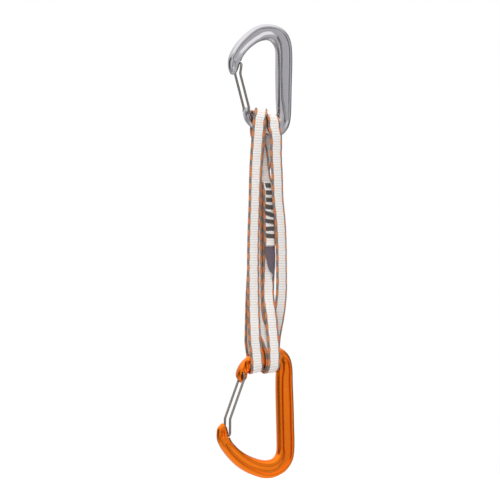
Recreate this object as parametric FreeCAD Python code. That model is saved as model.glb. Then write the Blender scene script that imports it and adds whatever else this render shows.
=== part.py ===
import FreeCAD, Part
import math
import os
from FreeCAD import Vector

# Extendable climbing quickdraw: two wire-gate carabiners joined by a sewn 600 mm sling that is tripled
# between them. Millimetres, +Z up as it hangs. X lies in the plane of both carabiners, spines at +X and
# gates at -X. The origin is the inside of the upper carabiner's top, where the hanger bears.

# ---- driving dimensions: carabiners -----------------------------------------------------------------
upper_thickness = 8.0
lower_thickness = 8.2
# Recess pressed into each face: its distance from the bar's inner edge and from its outer edge, its depth.
upper_recess = (3.3, 2.3, 1.5)
lower_recess = (4.3, 3.0, 1.4)
recess_wall = 1.0
wire_diameter = 1.9
wire_bend_radius = 1.6
loop_corner_radius = 2.2
gate_leg_clearance = 0.3
pivot_clearance = 0.05
pivot_depth = 2.9
hook_slot_clearance = 0.55
gate_side_clearance = 0.4
gate_open_angle = 32.0
hinge_reach = 16.0
nose_pocket_width = 2.2
nose_pocket_length = 5.6
nose_pocket_depth = 0.9
# Each pocket: x and z of its centre, tilt from upright, share of the bar's thickness there.
UPPER_POCKET = (-31.2, -20.2, 8, 0.76)
LOWER_POCKET = (-40.7, -309.2, -4, 0.74)

# ---- driving dimensions: sling ----------------------------------------------------------------------
tape_width = 11.0
tape_thickness = 1.7
tape_clearance = 0.3
cut_gap = 0.3
upper_stub_end = -80.0
upper_flex_end = -104.0
twist_plane = -197.0
lower_flex_start = -213.0
lower_stub_end = -237.0
splice_top = -112.0
splice_bottom = -162.0
sewn_gap = 0.05
tack_count = 8
tack_pitch = 5.7
tack_first = -113.8
tack_height = 3.2
tack_width = 8.4
tack_thickness = 0.3
label_top = -163.0
label_length = 23.0
label_width = 9.0
label_tip_width = 2.0
label_thickness = 0.5

# ---- carabiner outlines -----------------------------------------------------------------------------
# Each station crosses the bar from its outer to its inner edge:
# outer x, outer z, inner x, inner z, share of the full thickness, inner edge rounding, outer edge
# rounding (both measured in the carabiner's plane), share of the recess depth.
UPPER_STATIONS = [
    (-32.4, -27.1, -29.0, -27.4, 0.30, 0.8, 0.8, 0.0),
    (-33.6, -24.9, -27.3, -25.7, 0.62, 2.2, 2.2, 0.0),
    (-34.4, -21.6, -26.0, -22.7, 0.75, 2.6, 2.8, 0.0),
    (-34.5, -18.0, -24.4, -18.9, 0.77, 2.6, 2.8, 0.0),
    (-33.7, -14.2, -22.8, -14.9, 0.84, 2.6, 2.6, 0.0),
    (-31.6, -9.8, -21.3, -12.4, 0.97, 2.4, 2.4, 0.5),
    (-26.2, -2.1, -18.0, -8.6, 1.0, 2.4, 2.2, 1.0),
    (-19.4, 4.4, -13.7, -5.1, 1.0, 2.6, 2.2, 1.0),
    (-11.6, 10.0, -8.4, -2.0, 1.0, 3.0, 2.2, 0.9),
    (-3.4, 12.7, -3.2, -0.3, 1.0, 3.6, 2.4, 0.7),
    (3.8, 12.7, 1.0, -0.1, 1.0, 3.8, 2.4, 0.6),
    (10.6, 11.0, 4.6, -1.8, 1.0, 3.4, 2.4, 0.7),
    (16.8, 6.6, 7.1, -4.9, 1.0, 2.8, 2.2, 0.9),
    (20.5, -0.4, 8.3, -8.6, 1.0, 2.4, 2.2, 1.0),
    (21.8, -9.5, 8.6, -13.5, 1.0, 2.2, 2.2, 1.0),
    (21.7, -27.0, 8.7, -27.0, 1.0, 2.2, 2.2, 1.0),
    (21.2, -45.0, 8.8, -45.0, 1.0, 3.2, 2.2, 1.0),
    (21.0, -54.5, 8.9, -53.5, 1.0, 5.0, 2.4, 0.9),
    (20.4, -62.2, 8.9, -58.6, 1.0, 5.0, 2.6, 0.55),
    (18.4, -69.0, 8.4, -61.2, 1.0, 4.4, 3.0, 0.1),
    (13.6, -74.4, 6.9, -61.7, 1.0, 4.0, 3.4, 0.0),
    (6.4, -76.4, 4.2, -60.9, 1.0, 4.0, 3.6, 0.0),
    (-2.0, -73.8, -0.4, -59.6, 1.0, 4.0, 3.6, 0.0),
    (-9.5, -71.0, -5.4, -58.7, 1.0, 4.0, 3.6, 0.0),
    (-15.4, -67.8, -9.8, -58.3, 1.0, 4.0, 3.2, 0.0),
    (-19.2, -63.0, -13.6, -57.7, 0.98, 3.0, 2.6, 0.0),
    (-20.5, -58.0, -15.3, -55.9, 0.90, 2.2, 2.4, 0.0),
    (-19.8, -54.6, -16.6, -53.5, 0.62, 1.2, 1.2, 0.0),
]
LOWER_STATIONS = [
    (-40.9, -302.3, -39.0, -302.0, 0.30, 0.8, 0.8, 0.0),
    (-43.2, -304.6, -36.9, -303.7, 0.62, 2.4, 2.4, 0.0),
    (-44.5, -308.6, -35.4, -307.2, 0.73, 2.8, 3.0, 0.0),
    (-44.5, -312.8, -34.0, -311.4, 0.75, 2.8, 3.0, 0.0),
    (-43.2, -317.0, -32.3, -315.3, 0.84, 2.8, 2.8, 0.0),
    (-40.4, -321.6, -29.8, -318.4, 0.97, 2.6, 2.6, 0.4),
    (-34.6, -328.6, -25.0, -322.6, 1.0, 3.0, 2.6, 0.6),
    (-26.6, -335.8, -19.4, -326.1, 1.0, 3.6, 2.8, 0.5),
    (-17.4, -341.2, -12.6, -329.1, 1.0, 4.1, 3.0, 0.45),
    (-7.6, -344.9, -5.4, -331.1, 1.0, 4.1, 3.0, 0.4),
    (1.0, -346.2, 0.2, -331.5, 1.0, 4.1, 3.0, 0.4),
    (9.8, -344.3, 4.6, -330.5, 1.0, 4.1, 3.0, 0.45),
    (17.4, -339.4, 7.6, -328.0, 1.0, 3.6, 2.8, 0.6),
    (22.2, -332.2, 9.1, -324.4, 1.0, 3.0, 2.4, 0.8),
    (23.8, -323.5, 9.4, -319.0, 1.0, 2.4, 2.4, 1.0),
    (23.7, -308.0, 9.2, -307.0, 1.0, 2.2, 2.4, 1.0),
    (23.0, -285.0, 8.6, -285.0, 1.0, 2.2, 2.4, 1.0),
    (22.3, -266.5, 8.4, -267.5, 1.0, 2.4, 2.4, 1.0),
    (21.8, -257.5, 8.5, -261.0, 1.0, 3.2, 2.6, 0.8),
    (19.4, -249.8, 8.0, -258.2, 1.0, 4.0, 2.8, 0.5),
    (14.2, -244.4, 6.5, -257.0, 1.0, 4.1, 3.2, 0.2),
    (7.0, -241.8, 4.0, -257.5, 1.0, 4.1, 3.6, 0.0),
    (-1.5, -242.2, -0.2, -258.6, 1.0, 4.1, 3.6, 0.0),
    (-9.6, -245.2, -5.6, -259.3, 1.0, 4.1, 3.6, 0.0),
    (-17.0, -249.3, -11.2, -260.0, 1.0, 4.1, 3.2, 0.0),
    (-23.2, -254.9, -15.6, -260.8, 1.0, 3.0, 2.6, 0.0),
    (-26.6, -261.2, -18.4, -263.6, 0.98, 2.4, 2.4, 0.0),
    (-26.4, -266.2, -19.4, -267.4, 0.86, 2.0, 2.2, 0.0),
    (-24.3, -268.9, -21.6, -269.0, 0.62, 1.1, 1.1, 0.0),
]
STEPS_PER_STATION = 3
FINE_STEPS = 240
SECTION_STEPS = 38


def smooth_step(value):
    """0 below 0, 1 above 1, with a soft start and end between."""
    share = min(max(value, 0.0), 1.0)
    return share * share * (3.0 - 2.0 * share)


def station_rows(stations):
    """The stations joined by smooth curves: each column is interpolated along the bar's middle line."""
    middles = [Vector((s[0] + s[2]) / 2, 0, (s[1] + s[3]) / 2) for s in stations]
    along = [0.0]
    for before, after in zip(middles, middles[1:]):
        along.append(along[-1] + before.distanceToPoint(after))
    outer = Part.BSplineCurve()
    outer.interpolate(Points=[Vector(s[0], 0, s[1]) for s in stations], Parameters=along)
    inner = Part.BSplineCurve()
    inner.interpolate(Points=[Vector(s[2], 0, s[3]) for s in stations], Parameters=along)
    rows = []
    for index in range(len(stations) - 1):
        for step in range(STEPS_PER_STATION):
            rows.append((index, step / STEPS_PER_STATION))
    rows.append((len(stations) - 2, 1.0))
    result = []
    for index, share in rows:
        place = along[index] + share * (along[index + 1] - along[index])
        soft = smooth_step(share)
        sizes = [
            stations[index][column] + soft * (stations[index + 1][column] - stations[index][column])
            for column in range(4, 8)
        ]
        result.append((outer.value(place), inner.value(place), sizes))
    return result


def section_height(place, width, half, sizes, recess):
    """Half thickness of the bar at a place across it, counted from the inner edge."""
    inner_round, outer_round, recess_share = sizes
    edge = 1.0
    if place < inner_round:
        edge = 1.0 - place / inner_round
    elif place > width - outer_round:
        edge = 1.0 - (width - place) / outer_round
    else:
        edge = 0.0
    from_inner, from_outer, depth = recess
    rise = smooth_step((place - from_inner) / recess_wall)
    fall = smooth_step((width - from_outer - place) / recess_wall)
    return half * math.sqrt(max(1.0 - edge * edge, 0.0)) - depth * recess_share * rise * fall


def cross_section(outer, inner, sizes, thickness, recess):
    """Evenly spaced points over the front half of one section, from its inner edge to its outer edge."""
    share, inner_round, outer_round, recess_share = sizes
    across = outer - inner
    width = across.Length
    across.normalize()
    half = thickness / 2 * share
    limit = 0.5 * width
    shape = (min(inner_round, limit), min(outer_round, limit), recess_share)
    fine = []
    for step in range(FINE_STEPS + 1):
        place = width * (1 - math.cos(math.pi * step / FINE_STEPS)) / 2
        fine.append(Vector(place, section_height(place, width, half, shape, recess), 0))
    along = [0.0]
    for before, after in zip(fine, fine[1:]):
        along.append(along[-1] + before.distanceToPoint(after))
    points = []
    index = 0
    for step in range(SECTION_STEPS + 1):
        target = along[-1] * step / SECTION_STEPS
        while index < FINE_STEPS - 1 and along[index + 1] < target:
            index += 1
        share_of_gap = (target - along[index]) / (along[index + 1] - along[index])
        spot = fine[index] + (fine[index + 1] - fine[index]) * share_of_gap
        points.append(inner + across * spot.x + Vector(0, -spot.y, 0))
    points[0] = Vector(inner.x, 0, inner.z)
    points[-1] = Vector(outer.x, 0, outer.z)
    return points


def forged_body(stations, thickness, recess):
    """The bar of one carabiner: a smooth skin over its sections, mirrored about the middle plane."""
    rows = station_rows(stations)
    grid = [cross_section(o, i, sizes, thickness, recess) for o, i, sizes in rows]
    skin = Part.BSplineSurface()
    skin.interpolate(grid)
    front = skin.toShape()
    middle_edges = []
    caps = []
    for edge in front.Edges:
        ends = [vertex.Point for vertex in edge.Vertexes]
        middle_parameter = (edge.FirstParameter + edge.LastParameter) / 2
        is_flat = abs(edge.valueAt(middle_parameter).y) < 1e-6
        if is_flat:
            middle_edges.append(edge)
        else:
            chord = Part.makeLine(ends[0], ends[1])
            caps.append(Part.Face(Part.Wire([edge, chord])))
            middle_edges.append(chord)
    plane = Part.Face(Part.Wire(Part.__sortEdges__(middle_edges)))
    half = Part.Solid(Part.Shell([front, plane] + caps))
    if half.Volume < 0:
        half.reverse()
    return half.fuse(half.mirror(Vector(0, 0, 0), Vector(0, 1, 0))).Solids[0]


# ---- wire gates -------------------------------------------------------------------------------------
wire_radius = wire_diameter / 2
# Gate points in the carabiner's plane: pivot, kink beside the hinge, bend below the hook, loop's end.
UPPER_GATE = [(-18.4, -57.6), (-18.5, -53.4), (-26.2, -27.0), (-24.9, -18.7)]
LOWER_GATE = [(-23.0, -262.4), (-22.6, -266.9), (-35.2, -298.2), (-35.3, -311.4)]
upper_floor = 3.1
lower_floor = 3.1


def rounded_path(points, radii):
    """Straight runs joined by tangent arcs; radii belong to the points between the ends."""
    edges = []
    start = points[0]
    for index in range(1, len(points) - 1):
        corner = points[index]
        before = (points[index - 1] - corner).normalize()
        after = (points[index + 1] - corner).normalize()
        half_angle = before.getAngle(after) / 2
        reach = radii[index - 1] / math.tan(half_angle)
        first = corner + before * reach
        last = corner + after * reach
        bisector = (before + after).normalize()
        centre = corner + bisector * (radii[index - 1] / math.sin(half_angle))
        middle = centre - bisector * radii[index - 1]
        edges.append(Part.LineSegment(start, first).toShape())
        edges.append(Part.Arc(first, middle, last).toShape())
        start = last
    edges.append(Part.LineSegment(start, points[-1]).toShape())
    return Part.Wire(edges)


def gate_wire(gate, leg_y):
    """One bent wire: a pivot end, a leg, the loop's flat end, the other leg and its pivot end."""
    pivot, kink, bend, end = [Vector(x, 0, z) for x, z in gate]
    side = Vector(0, leg_y, 0)
    inner = Vector(0, leg_y - pivot_depth - wire_radius, 0)
    points = [pivot - inner, pivot - side, kink - side, bend - side, end - side]
    points += [end + side, bend + side, kink + side, pivot + side, pivot + inner]
    legs = [wire_bend_radius, 5.0, 6.0, loop_corner_radius]
    path = rounded_path(points, legs + legs[::-1])
    circle = Part.Wire(Part.makeCircle(wire_radius, points[0], Vector(0, 1, 0)))
    return path.makePipeShell([circle], True, False)


def hinge_cuts(gate, leg_y, floor, opening):
    """Blind pivot holes, and on each face the room that the leg sweeps between shut and open."""
    pivot = Vector(gate[0][0], 0, gate[0][1])
    shut = [math.degrees(math.atan2(z - pivot.z, x - pivot.x)) for x, z in (gate[1], gate[2])]
    swept = shut + [angle - opening for angle in shut]
    half_width = wire_radius + gate_side_clearance
    cutters = []
    for sign in (-1, 1):
        base = pivot + Vector(0, sign * floor, 0)
        outward = Vector(0, sign, 0)
        hole_start = pivot + Vector(0, sign * (leg_y - pivot_depth - wire_radius - 0.2), 0)
        cutters.append(Part.makeCylinder(wire_radius + pivot_clearance, 12.0, hole_start, outward))
        bend_start = pivot + Vector(0, sign * (leg_y - wire_bend_radius - 0.1), 0)
        cutters.append(Part.makeCylinder(half_width + 0.3, 6.0, bend_start, outward))
        for angle in swept:
            channel = Part.makeBox(hinge_reach, 6.0, 2 * half_width, Vector(0, sign * 3.0 - 3.0, -half_width))
            channel.rotate(Vector(0, 0, 0), Vector(0, -1, 0), angle)
            channel.translate(base)
            cutters.append(channel)
        steps = 6
        rim = []
        for step in range(steps + 1):
            angle = math.radians(min(swept) + (max(swept) - min(swept)) * step / steps)
            rim.append(base + Vector(hinge_reach * math.cos(angle), 0, hinge_reach * math.sin(angle)))
        sector = Part.Face(Part.makePolygon([base] + rim + [base]))
        cutters.append(sector.extrude(outward * 6.0))
    return cutters


def hook_cuts(gate, towards):
    """The slot that the loop's end rests in, open towards the inside of the carabiner."""
    end = Vector(gate[3][0], 0, gate[3][1])
    radius = wire_radius + hook_slot_clearance
    depth = 14.0
    drum = Part.makeCylinder(radius, depth, end + Vector(0, -depth / 2, 0), Vector(0, 1, 0))
    slot = Part.makeBox(9.0, depth, 2 * radius)
    slot.translate(Vector(0, -depth / 2, -radius))
    slot.rotate(Vector(0, 0, 0), Vector(0, 1, 0), towards)
    slot.translate(end)
    return [drum, slot]


def nose_pockets(pocket, thickness):
    """A small blind oval pressed into each face of the nose."""
    x, z, tilt, share = pocket
    half_thickness = thickness / 2 * share
    cutters = []
    half_run = (nose_pocket_length - nose_pocket_width) / 2
    for sign in (-1, 1):
        start = Vector(0, sign * (half_thickness - nose_pocket_depth), 0)
        oval = Part.makeCylinder(nose_pocket_width / 2, 6.0, start + Vector(0, 0, half_run), Vector(0, sign, 0))
        oval = oval.fuse(
            Part.makeCylinder(nose_pocket_width / 2, 6.0, start - Vector(0, 0, half_run), Vector(0, sign, 0))
        )
        bar = Part.makeBox(nose_pocket_width, 6.0, 2 * half_run)
        bar.translate(Vector(-nose_pocket_width / 2, -3.0 + sign * 3.0, -half_run) + start)
        oval = oval.fuse(bar)
        oval.rotate(Vector(0, 0, 0), Vector(0, 1, 0), tilt)
        oval.translate(Vector(x, 0, z))
        cutters.append(oval)
    return cutters


# ---- sling ------------------------------------------------------------------------------------------
# Depth is counted in tape layers of one thickness and its clearance, from the carabiners' middle plane.
layer = tape_thickness + tape_clearance
UP_IN = (upper_thickness / 2 + tape_clearance + tape_thickness / 2) / layer
UP_OUT = UP_IN + 1.0
LOW_IN = (lower_thickness / 2 + tape_clearance + tape_thickness / 2) / layer
LOW_OUT = LOW_IN + 1.0
# Bights over the bars: x of the ridge, z of the bar-side face there, slope of the ridge, x drift of the
# front leg and of the back leg from the ridge, layer.
UPPER_BIGHTS = {
    "left": (-5.3, -55.3, -0.08, -5.2, 5.2, UP_OUT + 0.1),
    "right": (3.05, -59.55, -0.12, 0.4, 2.2, UP_IN),
    "inner": (-8.6, -57.5, -0.13, -0.4, 1.6, UP_IN),
}
LOWER_BIGHTS = {
    "left": (-10.6, -261.0, 0.18, -1.0, 1.0, LOW_IN),
    "right": (2.4, -261.2, 0.12, 0.0, 0.0, LOW_OUT),
    "inner": (1.8, -258.9, 0.20, 0.0, 0.0, LOW_IN),
}
# The six strands between the bights, named for where they run. Rows: z, x, depth in layers, turn of the
# tape's face in degrees. The first and last rows lie beside the two bars.
STRANDS = {
    "front_left": [
        (-68.0, -11.4, -UP_OUT - 0.1, 0), (-76.0, -12.0, -3.55, 0), (-88.0, -12.4, -2.95, 0),
        (-104.0, -13.1, -2.55, 3), (-126.0, -13.9, -2.55, 7), (-150.0, -14.7, -2.5, 6),
        (-175.0, -15.0, -2.4, 4), (-200.0, -14.8, -2.38, 2), (-220.0, -14.5, -2.55, 0),
        (-232.0, -14.3, -2.9, 0), (-238.0, -13.9, -2.8, 0), (-245.0, -12.7, -LOW_IN, 0),
        (-252.0, -12.0, -LOW_IN, 0),
    ],
    "behind_left": [
        (-68.0, -9.0, -UP_IN, 0), (-76.0, -9.3, -2.45, 0), (-88.0, -10.1, -1.85, 0),
        (-104.0, -11.1, -1.3, 0), (-126.0, -11.6, -1.2, 0), (-150.0, -11.7, -1.2, 0),
        (-175.0, -11.5, -1.2, 0), (-200.0, -11.1, -1.2, 0), (-214.0, -10.5, -1.25, 0),
        (-220.0, -9.4, -1.3, 0), (-226.0, -7.2, -1.45, 0), (-232.0, -4.4, -1.7, 0),
        (-236.0, -2.6, -1.95, 0), (-240.0, -1.0, -2.35, 0), (-247.0, 1.1, -LOW_IN, 0),
        (-252.0, 1.7, -LOW_IN, 0),
    ],
    "right": [
        (-68.0, 3.5, -UP_IN, 0), (-76.0, 5.2, -2.62, 3), (-88.0, 5.8, -2.15, 6),
        (-104.0, 7.0, -1.8, 8), (-126.0, 8.2, -1.5, 9), (-140.0, 10.0, -1.35, 10),
        (-158.0, 11.4, -1.15, 12), (-186.0, 12.0, -1.0, 13), (-197.0, 12.1, -0.85, 12),
        (-204.0, 12.0, -0.5, 10), (-214.0, 11.6, 0.4, 6), (-224.0, 11.1, 1.75, 3),
        (-232.0, 10.7, 3.1, 0), (-238.0, 10.3, 3.55, 0), (-245.0, 9.4, LOW_OUT, 0),
        (-252.0, 6.4, LOW_OUT, 0),
    ],
    "middle": [
        (-68.0, -6.9, UP_IN, 0), (-74.0, -6.8, 2.48, 0), (-80.0, -5.6, 1.7, 0),
        (-86.0, -4.0, 1.2, 0), (-92.0, -3.3, 0.95, 0), (-104.0, -2.2, 0.68, 0),
        (-116.0, 0.6, 0.62, 0), (-140.0, 1.8, 0.65, 0), (-158.0, 2.3, 0.6, 0),
        (-180.0, 1.9, 0.35, 0), (-195.0, 1.0, 0.1, 0), (-204.0, 0.5, -0.6, 0),
        (-213.0, 0.9, -1.65, 0), (-220.0, 1.2, -2.4, 0), (-228.0, 1.5, -2.85, 0),
        (-236.0, 1.9, -3.35, 0), (-244.0, 2.3, -LOW_OUT, 0), (-252.0, 2.4, -LOW_OUT, 0),
    ],
    "back_left": [
        (-68.0, 5.3, UP_IN, 0), (-74.0, 5.4, 2.7, 0), (-80.0, 5.2, 2.85, 0), (-86.0, 4.1, 2.65, 0),
        (-92.0, 2.5, 2.45, 0), (-104.0, -1.0, 2.08, 0), (-116.0, -4.4, 1.85, 0),
        (-132.0, -7.6, 1.75, 0), (-158.0, -9.7, 1.55, 0), (-186.0, -11.0, 1.5, 0),
        (-204.0, -12.1, 1.45, 0), (-222.0, -12.6, 1.45, 0), (-230.0, -12.8, 1.5, 0),
        (-236.0, -12.5, 1.9, 0), (-240.0, -11.9, 2.35, 0), (-245.0, -10.8, LOW_IN, 0),
        (-252.0, -9.8, LOW_IN, 0),
    ],
    "back_right": [
        (-68.0, -0.6, UP_OUT + 0.1, 0), (-78.0, -1.3, 3.88, 0), (-86.0, -2.3, 3.75, 0),
        (-92.0, -3.2, 3.52, 0), (-104.0, -5.5, 3.13, 0), (-116.0, -6.7, 2.9, 0),
        (-132.0, -7.0, 2.8, 0), (-158.0, -6.7, 2.65, 0), (-180.0, -6.3, 2.6, 0),
        (-204.0, -5.2, 2.55, 0), (-222.0, -3.3, 2.55, 0), (-230.0, -2.2, 2.56, 0),
        (-236.0, -0.9, 2.58, 0), (-244.0, 1.1, LOW_IN, 0), (-252.0, 1.7, LOW_IN, 0),
    ],
}
# Each bight joins the strand on its front to the strand on its back.
UPPER_JOINS = {
    "left": ("front_left", "back_right"),
    "right": ("right", "back_left"),
    "inner": ("behind_left", "middle"),
}
LOWER_JOINS = {
    "left": ("front_left", "back_left"),
    "right": ("middle", "right"),
    "inner": ("behind_left", "back_right"),
}
ARCH_STEPS = 8
STRAND_STEP = 6.0


def strand_place(name, z):
    """Centre of a strand at one height, and the direction across its width."""
    rows = STRANDS[name]
    heights = [-row[0] for row in rows]
    points = [Vector(row[1], row[2] * layer, row[3]) for row in rows]
    curve = Part.BSplineCurve()
    curve.interpolate(Points=points, Parameters=heights)
    value = curve.value(-z)
    turn = math.radians(value.z)
    return Vector(value.x, value.y, z), Vector(math.cos(turn), math.sin(turn), 0)


def strand_sections(name, top, bottom):
    """Level sections down a strand: centre, width direction and face direction."""
    count = max(2, int(math.ceil(abs(top - bottom) / STRAND_STEP)))
    sections = []
    for step in range(count + 1):
        z = top + (bottom - top) * step / count
        centre, across = strand_place(name, z)
        sections.append((centre, across, Vector(-across.y, across.x, 0)))
    return sections


def arch_sections(bight, upwards):
    """Sections round the bar from the front leg to the back leg. upwards is 1 over a bar, -1 under it."""
    x, face_z, slope, front_drift, back_drift, depth = bight
    radius = depth * layer
    bar_side = radius - tape_thickness / 2
    bar = Vector(1.0, 0, slope).normalize()
    steady = (back_drift - front_drift) / 2
    growing = (back_drift + front_drift) / 2
    sections = []
    for step in range(ARCH_STEPS + 1):
        angle = math.pi * step / ARCH_STEPS
        place = 2 * step / ARCH_STEPS - 1
        shift = steady * place + growing * place ** 2
        turn = math.atan2(steady + 2 * growing * place, radius * math.pi / 2)
        centre_z = face_z + upwards * -bar_side + slope * shift
        radial = Vector(0, -math.cos(angle), upwards * math.sin(angle))
        forward = Vector(0, math.sin(angle), upwards * math.cos(angle))
        centre = Vector(x + shift, 0, centre_z) + radial * radius
        across = bar * math.cos(turn) - forward * math.sin(turn)
        sections.append((centre, across.normalize(), radial))
    return sections


def skinned(corner_points, along):
    """A solid from the four rows of corner points of its sections, closed at both ends."""
    corners = []
    for points in corner_points:
        curve = Part.BSplineCurve()
        curve.interpolate(Points=points, Parameters=along)
        corners.append(curve)
    edges = [curve.toShape() for curve in corners]
    faces = [Part.makeRuledSurface(edges[i], edges[(i + 1) % 4], 1) for i in range(4)]
    for parameter in (along[0], along[-1]):
        ring = [curve.value(parameter) for curve in corners]
        faces.append(Part.Face(Part.makePolygon(ring + ring[:1])))
    shell = Part.Shell(faces)
    shell.sewShape()
    solid = Part.Solid(shell)
    if solid.Volume < 0:
        solid.reverse()
    return solid


CORNERS = ((-1, -1), (1, -1), (1, 1), (-1, 1))


def tape_solid(sections, width, thickness):
    """A flat tape through its sections."""
    along = [0.0]
    for before, after in zip(sections, sections[1:]):
        along.append(along[-1] + before[0].distanceToPoint(after[0]))
    rows = []
    for side, face in CORNERS:
        row = []
        for centre, across, outward in sections:
            row.append(centre + across * (side * width / 2) + outward * (face * thickness / 2))
        rows.append(row)
    return skinned(rows, along)


def bight_solid(bight, joins, upwards, stub_end):
    """One bight and its two legs, as far as the free strands."""
    arch = arch_sections(bight, upwards)
    legs = []
    for name, end in ((joins[0], arch[0][0]), (joins[1], arch[-1][0])):
        first_z = STRANDS[name][0][0] if upwards > 0 else STRANDS[name][-1][0]
        leg = []
        z = first_z
        while upwards * (z - stub_end) > 1.0:
            centre, across = strand_place(name, z)
            leg.append((centre, across, Vector(-across.y, across.x, 0)))
            z -= upwards * 4.0
        centre, across = strand_place(name, stub_end)
        leg.append((centre, across, Vector(-across.y, across.x, 0)))
        legs.append(leg)
    front = [(centre, across, outward * -1) for centre, across, outward in legs[0]]
    return tape_solid(front[::-1] + arch + legs[1], tape_width, tape_thickness)


def layer_on_middle(top, bottom, gap, thickness, width_at_top, width_at_bottom, shift):
    """A thin piece sewn flat on the front of the middle strand. It may taper and lean to one side."""
    along = [step / 6 for step in range(7)]
    rows = [[], [], [], []]
    for share in along:
        centre, across = strand_place("middle", top + (bottom - top) * share)
        lift = tape_thickness / 2 + gap + thickness / 2
        outward = Vector(across.y, -across.x, 0)
        half = (width_at_top + (width_at_bottom - width_at_top) * share) / 2
        for row, (side, face) in zip(rows, CORNERS):
            row.append(
                centre
                + across * (shift * share + side * half)
                + outward * (lift + face * thickness / 2)
            )
    return skinned(rows, along)


# ---- build and write --------------------------------------------------------------------------------
parts = {}
upper_leg = upper_floor + gate_leg_clearance + wire_radius
lower_leg = lower_floor + gate_leg_clearance + wire_radius
upper_cuts = hinge_cuts(UPPER_GATE, upper_leg, upper_floor, gate_open_angle)
upper_cuts += hook_cuts(UPPER_GATE, 0)
upper_cuts += nose_pockets(UPPER_POCKET, upper_thickness)
lower_cuts = hinge_cuts(LOWER_GATE, lower_leg, lower_floor, -gate_open_angle)
lower_cuts += hook_cuts(LOWER_GATE, 0)
lower_cuts += nose_pockets(LOWER_POCKET, lower_thickness)
parts["upper_body"] = forged_body(UPPER_STATIONS, upper_thickness, upper_recess).cut(upper_cuts)
parts["lower_body"] = forged_body(LOWER_STATIONS, lower_thickness, lower_recess).cut(lower_cuts)
parts["upper_gate_wire"] = gate_wire(UPPER_GATE, upper_leg)
parts["lower_gate_wire"] = gate_wire(LOWER_GATE, lower_leg)
for name, bight in UPPER_BIGHTS.items():
    parts["sling_upper_bight_" + name] = bight_solid(bight, UPPER_JOINS[name], 1, upper_stub_end)
for name, bight in LOWER_BIGHTS.items():
    parts["sling_lower_bight_" + name] = bight_solid(bight, LOWER_JOINS[name], -1, lower_stub_end)
upper_flex = []
lower_flex = []
for name in STRANDS:
    flex = strand_sections(name, upper_stub_end - cut_gap, upper_flex_end + cut_gap)
    upper_flex.append(tape_solid(flex, tape_width, tape_thickness))
    flex = strand_sections(name, lower_flex_start - cut_gap, lower_stub_end + cut_gap)
    lower_flex.append(tape_solid(flex, tape_width, tape_thickness))
    run = strand_sections(name, upper_flex_end, twist_plane + cut_gap / 2)
    parts["sling_strand_" + name] = tape_solid(run, tape_width, tape_thickness)
    run = strand_sections(name, twist_plane - cut_gap / 2, lower_flex_start)
    parts["sling_strand_end_" + name] = tape_solid(run, tape_width, tape_thickness)
parts["sling_upper_flex"] = Part.Compound(upper_flex)
parts["sling_lower_flex"] = Part.Compound(lower_flex)
parts["splice_overlap"] = layer_on_middle(
    splice_top, splice_bottom, sewn_gap, tape_thickness, tape_width, tape_width, 0.0
)
parts["label"] = layer_on_middle(
    label_top, label_top - label_length, sewn_gap, label_thickness, label_width, label_tip_width, 2.4
)
tacks = []
for index in range(tack_count):
    top = tack_first - index * tack_pitch
    lift = sewn_gap * 2 + tape_thickness
    tacks.append(layer_on_middle(top, top - tack_height, lift, tack_thickness, tack_width, tack_width, 0.0))
parts["bar_tacks"] = Part.Compound(tacks)

os.makedirs("parts", exist_ok=True)
for name, shape in parts.items():
    shape.exportStep("parts/" + name + ".step")
    print(name, len(shape.Solids), shape.isValid(), round(shape.Volume, 1))
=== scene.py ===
import math

import bmesh
import bpy
import numpy as np
from mathutils import Matrix, Vector


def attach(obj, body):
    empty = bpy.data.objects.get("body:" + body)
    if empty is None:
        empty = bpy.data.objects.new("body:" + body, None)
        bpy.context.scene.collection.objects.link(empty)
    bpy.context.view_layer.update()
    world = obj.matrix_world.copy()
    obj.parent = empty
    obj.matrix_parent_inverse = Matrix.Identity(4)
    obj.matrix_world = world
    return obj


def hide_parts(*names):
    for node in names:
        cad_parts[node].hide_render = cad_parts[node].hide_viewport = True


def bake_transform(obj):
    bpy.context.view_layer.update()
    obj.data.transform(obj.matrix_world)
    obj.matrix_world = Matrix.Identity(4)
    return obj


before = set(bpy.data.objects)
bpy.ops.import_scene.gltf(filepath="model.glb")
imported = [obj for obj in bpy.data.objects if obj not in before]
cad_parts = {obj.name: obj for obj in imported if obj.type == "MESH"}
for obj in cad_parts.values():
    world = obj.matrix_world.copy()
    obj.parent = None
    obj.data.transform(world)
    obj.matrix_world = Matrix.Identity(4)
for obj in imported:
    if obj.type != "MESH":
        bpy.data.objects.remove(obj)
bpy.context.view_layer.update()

# ---- upper carabiner body ----------------------------------------------------------------------------
# One bar of 7000-series aluminium, bent to shape, hot-forged to an I-beam in a closed die, tumbled and
# clear anodised. Satin silver: clean soft reflections, dark lines where the forged recess turns.
MM = 0.001
UPPER_THICKNESS = 8.0
# The recess: flat crest beside the inner rounding, width of its inner slope, distance of its outer rim from
# the outer edge, width of its steeper outer wall, depth.
UPPER_RECESS = (0.15, 2.8, 2.8, 0.9, 1.5)
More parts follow.
